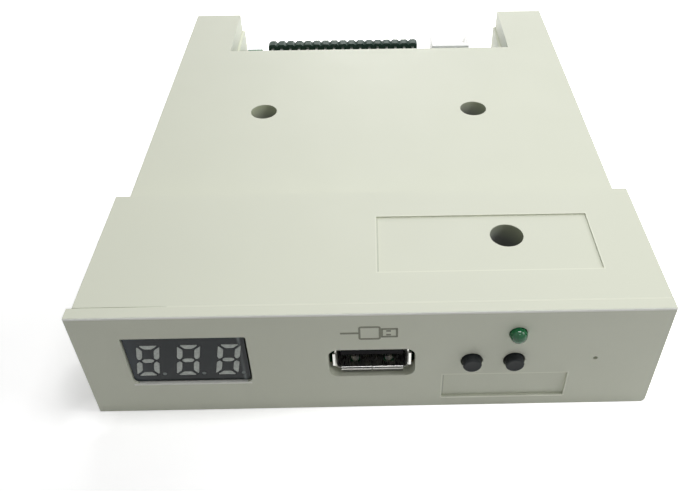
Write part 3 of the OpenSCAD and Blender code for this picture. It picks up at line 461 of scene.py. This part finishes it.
def white_nylon():
    """Unfilled nylon, which lets some light through."""
    material, place = new_finish("white_nylon")
    return close_finish(
        material, place,
        Base_Color=place.cloud(1.6, detail=3).blend(tint(248, 247, 243), tint(252, 251, 248)),
        Roughness=place.cloud(0.6).between(0.36, 0.48),
        Subsurface_Weight=0.7,
        Subsurface_Radius=(1.0, 1.0, 1.0),
        Subsurface_Scale=1.5 * MM,
        Normal=place.cloud(0.2).relief(depth=0.008, strength=0.5),
    )


def lamp_resin():
    """The lamp's green resin, slightly clear and polished."""
    material, place = new_finish("lamp_resin")
    return close_finish(
        material, place,
        Base_Color=place.cloud(1.2).blend(tint(6, 90, 48), tint(16, 109, 61)),
        Roughness=place.cloud(0.5).between(0.04, 0.07),
        Transmission_Weight=0.12,
        Specular_IOR_Level=0.4,
        Normal=place.cloud(0.8).relief(depth=0.004, strength=0.3),
    )


board_low, board_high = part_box("main_board")
display_board_low, display_board_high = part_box("display_board")
display_low, display_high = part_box("display_block")

CASE = case_plastic(display_low / MM - WINDOW_GAP, display_high / MM + WINDOW_GAP)
SCREW_STEEL = plated_metal(
    "screw_steel", tint(150, 150, 146), tint(186, 186, 180), roughness=0.32,
)
SOCKET_METAL = socket_plating(board_high.z / MM)
PIN_GOLD = plated_metal(
    "pin_gold", tint(196, 160, 88), tint(228, 196, 124), roughness=0.24, drawn=DRAWN_Y,
)
CONTACT_METAL = plated_metal(
    "contact_metal", tint(146, 140, 126), tint(172, 166, 150), roughness=0.4, drawn=DRAWN_Y,
)
TINNED = plated_metal(
    "tinned_metal", tint(176, 176, 172), tint(210, 210, 204), roughness=0.3,
)
CAN_METAL = plated_metal(
    "can_aluminium", tint(186, 188, 190), tint(214, 216, 218), roughness=0.26, drawn=DRAWN_Z,
)
BLACK_PLASTIC = moulded_plastic(
    "black_plastic", tint(24, 25, 26), tint(36, 37, 39), roughness=0.45, gloss=0.3,
)
HEADER_PLASTIC = moulded_plastic(
    "header_plastic", tint(40, 60, 51), tint(52, 72, 63), roughness=0.5, gloss=0.15,
)
BUTTON_PLASTIC = moulded_plastic(
    "button_plastic", tint(35, 38, 39), tint(43, 46, 47), roughness=0.45, gloss=0.14,
)
SOCKET_BLACK = moulded_plastic(
    "socket_black", tint(9, 9, 10), tint(16, 16, 17), roughness=0.6, gloss=0.08,
)
SIGN_PRINT = moulded_plastic(
    "sign_print", tint(128, 130, 112), tint(138, 140, 122), roughness=0.5,
)
DISPLAY_GLASS = display_glass(display_low / MM, display_high / MM)
SEGMENT_RESIN = segment_resin(*(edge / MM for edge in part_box("display_segments")))
WHITE_NYLON = white_nylon()
LAMP_RESIN = lamp_resin()
BOARD = solder_mask("board_lacquer", "Z", board_low.z, board_high.z)
DISPLAY_BOARD = solder_mask(
    "display_board_lacquer", "Y", display_board_low.y, display_board_high.y,
)

SLOT_FINISHES = {
    "case": CASE,
    "screw_steel": SCREW_STEEL,
    "board": BOARD,
    "socket_metal": SOCKET_METAL,
    "black_plastic": BLACK_PLASTIC,
    "header_plastic": HEADER_PLASTIC,
    "pin_gold": PIN_GOLD,
    "tinned_metal": TINNED,
    "display_face": DISPLAY_GLASS,
    "display_segment": SEGMENT_RESIN,
    "button_plastic": BUTTON_PLASTIC,
    "lamp_green": LAMP_RESIN,
    "white_nylon": WHITE_NYLON,
    "can_aluminium": CAN_METAL,
}
NODE_FINISHES = {
    "display_board": DISPLAY_BOARD,
    "socket_insulator": SOCKET_BLACK,
    "socket_contacts": CONTACT_METAL,
}

for subpart in frame["record"]["subparts"]:
    name = subpart["node"]
    slot_finish = SLOT_FINISHES[subpart["material_slot"]]
    cad_piece = nodes[name]
    cad_piece.data.materials.clear()
    cad_piece.data.materials.append(NODE_FINISHES.get(name, slot_finish))


# Pieces made here. Their lengths are in millimetres until MM makes them metres

MERGE_DISTANCE = 0.001 * MM


def to_object(name, shape, finish):
    """Turns a bmesh into an object with one finish."""
    mesh = bpy.data.meshes.new(name)
    shape.to_mesh(mesh)
    shape.free()
    mesh.materials.append(finish)
    made = bpy.data.objects.new(name, mesh)
    scene.collection.objects.link(made)
    return made


def add_piece(name, shape, finish, body, smooth=False):
    """Turns a bmesh into a piece that rides on a body."""
    for face in shape.faces:
        face.smooth = smooth
    piece = to_object(name, shape, finish)
    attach(piece, body)
    return piece


def turned(shape, profile, centre, axis, steps):
    """Spins a profile of (radius, height) points round an axis through centre, inside shape."""
    side = axis.orthogonal().normalized()
    corners = [
        shape.verts.new(centre + (side * radius + axis * height) * MM) for radius, height in profile
    ]
    edges = [shape.edges.new(pair) for pair in zip(corners, corners[1:])]
    bmesh.ops.spin(
        shape, geom=corners + edges, cent=centre, axis=axis, angle=math.tau, steps=steps,
        use_merge=True,
    )


def close_turned(shape):
    """Merges the seams and poles of turned shapes and turns their faces outwards."""
    bmesh.ops.remove_doubles(shape, verts=shape.verts, dist=MERGE_DISTANCE)
    bmesh.ops.recalc_face_normals(shape, faces=shape.faces)


def round_corners(shape, corners, radius, clamp=False):
    """Rounds corners of flat faces, and gives back the corners that are there instead."""
    return bmesh.ops.bevel(
        shape, geom=corners, offset=radius * MM, offset_type="OFFSET", segments=4, profile=0.5,
        affect="VERTICES", clamp_overlap=clamp, material=-1,
    )["verts"]


def thicken(shape, depth):
    """Extrudes all flat faces of a shape along Y, by a depth in metres."""
    thick = bmesh.ops.extrude_face_region(shape, geom=shape.faces[:])
    moved = [part for part in thick["geom"] if isinstance(part, bmesh.types.BMVert)]
    bmesh.ops.translate(shape, vec=(0, depth, 0), verts=moved)
    bmesh.ops.recalc_face_normals(shape, faces=shape.faces)


def pin_feet(name):
    """The middle of each pin's lower end, from the node's own corners."""
    foot_w = 1.2 * MM
    slack = 0.05 * MM
    corners = [vertex.co for vertex in nodes[name].data.vertices]
    lowest = min(corner.z for corner in corners)
    feet = {}
    for corner in corners:
        if corner.z < lowest + slack:
            near = next(
                (key for key in feet if (Vector(key) - corner.xy).length < foot_w), corner.xy[:],
            )
            feet.setdefault(near, []).append(corner.xy)
    return [sum(group, Vector((0, 0))) / len(group) for group in feet.values()]


def solder_joints():
    """A cone of solder at each pin's foot, under the board and, but for the jumper, over it too."""
    below = [(0.95, 0.0), (0.86, 0.1), (0.62, 0.45), (0.5, 0.95), (0.34, 1.2), (0.0, 1.28)]
    above = [(0.82, 0.0), (0.7, 0.1), (0.5, 0.32), (0.36, 0.55), (0.0, 0.6)]
    down = Vector((0, 0, -1))
    up = Vector((0, 0, 1))
    steps = 14
    pins = (
        "data_pins", "power_pins", "jumper_pins", "link_pins", "socket_contacts", "lamp_wires",
    )
    shape = bmesh.new()
    for name in pins:
        for foot in pin_feet(name):
            turned(shape, below, Vector((foot.x, foot.y, board_low.z)), down, steps)
            if name != "jumper_pins":
                turned(shape, above, Vector((foot.x, foot.y, board_high.z)), up, steps)
    close_turned(shape)
    add_piece("solder_joints", shape, TINNED, "housing", smooth=True)


def joint_bead():
    """A thin bead that shuts the joint between panel and cover, and sinks towards its left end."""
    room = 0.005
    deep = 0.6
    sink = 0.2
    short = 0.3
    low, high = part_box("top_cover")
    start = low.x / MM + short
    end = high.x / MM - short
    size = Vector((end - start, JOINT[1] - JOINT[0] - 2 * room, deep))
    centre = Vector(((start + end) / 2, sum(JOINT) / 2, PANEL_TOP - 2 * room - deep / 2))
    shape = bmesh.new()
    bmesh.ops.create_cube(shape, size=1.0)
    bmesh.ops.scale(shape, vec=size * MM, verts=shape.verts)
    bmesh.ops.translate(shape, vec=centre * MM, verts=shape.verts)
    bmesh.ops.bisect_plane(
        shape, geom=shape.verts[:] + shape.edges[:] + shape.faces[:],
        plane_co=(JOINT_SHUT * MM, 0, 0), plane_no=(1, 0, 0),
    )
    tail = [
        vertex for vertex in shape.verts
        if vertex.co.x < (JOINT_SHUT - short) * MM and vertex.co.z > centre.z * MM
    ]
    bmesh.ops.translate(shape, vec=(0, 0, -sink * MM), verts=tail)
    add_piece("joint_bead", shape, CASE, "housing")


def display_bars():
    """The display's bars and points, with soft corners and a hair of room in their pockets."""
    room = 0.05
    corner = 0.26
    facing_front = -0.9
    corners_of_bar = 8
    low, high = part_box("display_segments")
    shape = bmesh.new()
    shape.from_mesh(nodes["display_segments"].data)
    bmesh.ops.remove_doubles(shape, verts=shape.verts, dist=MERGE_DISTANCE)
    behind = [face for face in shape.faces if face.normal.y > facing_front]
    bmesh.ops.delete(shape, geom=behind, context="FACES")
    inner = [edge for edge in shape.edges if not edge.is_boundary]
    bmesh.ops.dissolve_edges(shape, edges=inner, use_verts=False)
    rim_highlights = bmesh.ops.inset_individual(
        shape, faces=shape.faces[:], thickness=room * MM, use_even_offset=True,
    )
    bmesh.ops.delete(shape, geom=rim_highlights["faces"], context="FACES")
    sharp = [
        vertex for face in shape.faces if len(face.verts) <= corners_of_bar for vertex in face.verts
    ]
    round_corners(shape, sharp, corner, clamp=True)
    thicken(shape, high.y - low.y)
    piece = add_piece("display_bars", shape, SEGMENT_RESIN, "housing")
    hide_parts("display_segments")


def button_plunger(side):
    """A push button: rounded rim, slightly sunk face and the collar that the switch holds."""
    radius = 1.65
    collar_t = 0.7
    rim = 0.32
    rim_steps = 5
    sunk_face = ((0.7, 0.03), (0.4, 0.06), (0.0, 0.07))  # share of the radius, depth
    steps = 40
    sharp_angle = math.radians(40)
    node = "button_" + side
    low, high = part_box(node)
    centre = Vector(((low.x + high.x) / 2, high.y, (low.z + high.z) / 2))
    collar_r = (high.x - low.x) / 2 / MM
    front = (high.y - low.y) / MM
    profile = [(0.0, 0.0), (collar_r, 0.0), (collar_r, collar_t), (radius, collar_t)]
    for step in range(rim_steps + 1):
        angle = step / rim_steps * math.pi / 2
        aside = rim * math.cos(angle)
        ahead = rim * math.sin(angle)
        profile.append((radius - rim + aside, front - rim + ahead))
    profile += [(radius * share, front - depth) for share, depth in sunk_face]
    shape = bmesh.new()
    turned(shape, profile, centre, Vector((0, -1, 0)), steps)
    close_turned(shape)
    piece = add_piece(
        "plunger_" + side, shape, BUTTON_PLASTIC, side + "_button", smooth=True,
    )
    piece.data.set_sharp_from_angle(angle=sharp_angle)
    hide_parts(node)


def plug_sign():
    """A plain sign over the socket: a plug on its lead, in strokes just proud of the panel."""
    stroke = 0.36
    proud = 0.05
    middle = 20.65
    lead = (-5.3, -2.2, middle - stroke / 2, middle + stroke / 2)
    body = (-2.2, 1.6, 19.0, 22.3)
    nose = (1.6, 4.5, 19.5, 21.8)
    upper_slot = (2.5, 3.3, 20.95, 21.3)
    lower_slot = (2.5, 3.3, 20.0, 20.35)
    body_corner = 0.45
    small_corner = 0.12
    slot_corner = 0.06
    shape = bmesh.new()

    def outline(rectangle, corner, filled=False):
        """A stroked or filled rectangle on the panel, from its left, right, low and high sides."""
        left, right, low, high = rectangle
        corners = bmesh.ops.create_grid(shape, x_segments=1, y_segments=1, size=0.5)["verts"]
        centre = ((left + right) / 2 * MM, PANEL_Y * MM, (low + high) / 2 * MM)
        bmesh.ops.scale(shape, vec=((right - left) * MM, (high - low) * MM, 1), verts=corners)
        bmesh.ops.rotate(shape, matrix=Matrix.Rotation(math.pi / 2, 3, "X"), verts=corners)
        bmesh.ops.translate(shape, vec=centre, verts=corners)
        rounded = round_corners(shape, corners, corner)
        touched = {face for vertex in rounded for face in vertex.link_faces}
        inner = max(touched, key=lambda face: face.calc_area())
        if not filled:
            bmesh.ops.inset_region(
                shape, faces=[inner], thickness=stroke * MM, use_boundary=True,
                use_even_offset=True,
            )
            bmesh.ops.delete(shape, geom=[inner], context="FACES")

    outline(lead, small_corner, filled=True)
    outline(body, body_corner)
    outline(nose, small_corner)
    outline(upper_slot, slot_corner, filled=True)
    outline(lower_slot, slot_corner, filled=True)
    thicken(shape, -proud * MM)
    add_piece("plug_sign", shape, SIGN_PRINT, "housing")


solder_joints()
joint_bead()
display_bars()
button_plunger("left")
button_plunger("right")
plug_sign()


# Floor, light and camera, in metres

def floor_paper():
    """Paper that glows to the camera, less round the front left corner, where a cast shadow shows
    and the dimmed glow adds painted shade.
    """
    material, place = new_finish("floor_paper")
    white_paper = grey(0.88)
    bounce_paper = grey(0.8)
    front_left = (-0.062, -0.068)
    painted_shadow_spot = (-0.0543, -0.0543)
    painted_light_spot = (-0.052, -0.0632)

    def ring(centre, inner, outer, low, high, fall="SMOOTHSTEP"):
        """A glow that runs from low to high between two distances from a point."""
        aside = place.axis("X") - centre[0]
        ahead = place.axis("Y") - centre[1]
        return place.node("ShaderNodeMapRange", {"interpolation_type": fall}, {
            "Value": aside * aside + ahead * ahead,
            "From Min": inner ** 2, "From Max": outer ** 2, "To Min": low, "To Max": high,
        })

    # Painted shade: the glow is dimmed round the front left corner, with a painted shadow spot
    # beside the corner and a painted light spot before it; far off it rises to white
    glow_with_painted_shade = (
        ring(front_left, inner=0.02, outer=0.075, low=0.4, high=0.82)
        + ring(front_left, inner=0.15, outer=0.5, low=0.0, high=0.2, fall="LINEAR")
        + ring(painted_shadow_spot, inner=0.0, outer=0.0076, low=-0.11, high=0.0)
        + ring(painted_light_spot, inner=0.0, outer=0.0055, low=0.09, high=0.0)
    )
    glow = place.node(
        "ShaderNodeEmission", inputs={"Color": glow_with_painted_shade, "Strength": 1.0}, out="Emission",
    )
    shaded = place.node("ShaderNodeBsdfDiffuse", inputs={"Color": white_paper}, out="BSDF")
    bright = place.node("ShaderNodeAddShader", inputs={0: shaded, 1: glow})
    bounce = place.node("ShaderNodeBsdfDiffuse", inputs={"Color": bounce_paper}, out="BSDF")
    mixed = place.node("ShaderNodeMixShader", inputs={
        0: seen_by_camera(place), 1: bounce, 2: bright,
    })
    place.node("ShaderNodeOutputMaterial", inputs={"Surface": mixed})
    return material


def stage_floor():
    """A pale floor that is white to the camera and keeps the unit's soft shadow, with painted shade
    and light added near the front left corner.
    """
    half_w = 3
    shape = bmesh.new()
    bmesh.ops.create_grid(shape, x_segments=1, y_segments=1, size=half_w)
    floor = to_object("floor", shape, floor_paper())


def studio_sky(strength):
    """White to the camera, and an even fill light on the object."""
    world = bpy.data.worlds.new("studio_sky")
    world.use_nodes = True
    world.node_tree.nodes.clear()
    start = Wire(world.node_tree)
    fill = start.node("ShaderNodeBackground", inputs={"Color": grey(1), "Strength": strength})
    white = start.node("ShaderNodeBackground", inputs={"Color": grey(1), "Strength": 1.0})
    mixed = start.node("ShaderNodeMixShader", inputs={
        0: seen_by_camera(start), 1: fill, 2: white,
    })
    start.node("ShaderNodeOutputWorld", inputs={"Surface": mixed})
    scene.world = world


def soft_lamp(name, place, target, size, power, depth=None):
    """A studio lamp at place that faces target, size wide and depth deep, or square without it."""
    data = bpy.data.lights.new(name, "AREA")
    data.shape = "RECTANGLE"
    data.size = size
    data.size_y = depth or size
    data.energy = power
    lamp = bpy.data.objects.new(name, data)
    lamp.visible_camera = False
    lamp.location = place
    lamp.rotation_euler = (Vector(target) - Vector(place)).to_track_quat("-Z", "Y").to_euler()
    scene.collection.objects.link(lamp)


def set_camera():
    """The camera as fitted to the photo's edges, with its axis beside the picture's middle."""
    picture_w = 680
    picture_h = 491
    focal_px = 748.68
    axis_px = Vector((379.07, 231.92))
    look = Vector((0.00785, 0.75447, -0.65629))
    roll = math.radians(0.5898)
    data = bpy.data.cameras.new("photo_camera")
    data.sensor_fit = "HORIZONTAL"
    data.sensor_width = 36
    data.lens = focal_px / picture_w * data.sensor_width
    data.shift_x = (picture_w / 2 - axis_px.x) / picture_w
    data.shift_y = (axis_px.y - picture_h / 2) / picture_w
    data.clip_start = 0.01
    data.clip_end = 20
    camera = bpy.data.objects.new("photo_camera", data)
    camera.location = Vector((0.603, -145.664, 116.330)) * MM
    camera.rotation_mode = "QUATERNION"
    camera.rotation_quaternion = look.to_track_quat("-Z", "Y") @ Quaternion((0, 0, 1), -roll)
    scene.collection.objects.link(camera)
    scene.camera = camera


stage_floor()
studio_sky(strength=0.11)
soft_lamp(
    "key_lamp", (0.07, -0.045, 0.4), target=(0.07, -0.03, 0.02), size=0.24, power=0.69, depth=0.07,
)
soft_lamp("rear_lamp", (0.05, 0.7, 0.55), target=(0, 0, 0.02), size=0.6, power=2.7)
soft_lamp("side_lamp", (0.27, -0.08, 0.2), target=(0, -0.03, 0.012), size=0.15, power=0.3)
soft_lamp("notch_lamp", (0, 0.13, 0.02), target=(0, 0.05, 0.01), size=0.05, power=0.042)
soft_lamp("glint_lamp", (0.07, -0.48, 0.56), target=(0, 0, 0.02), size=0.04, power=0.22)
set_camera()
scene.view_settings.view_transform = "Standard"
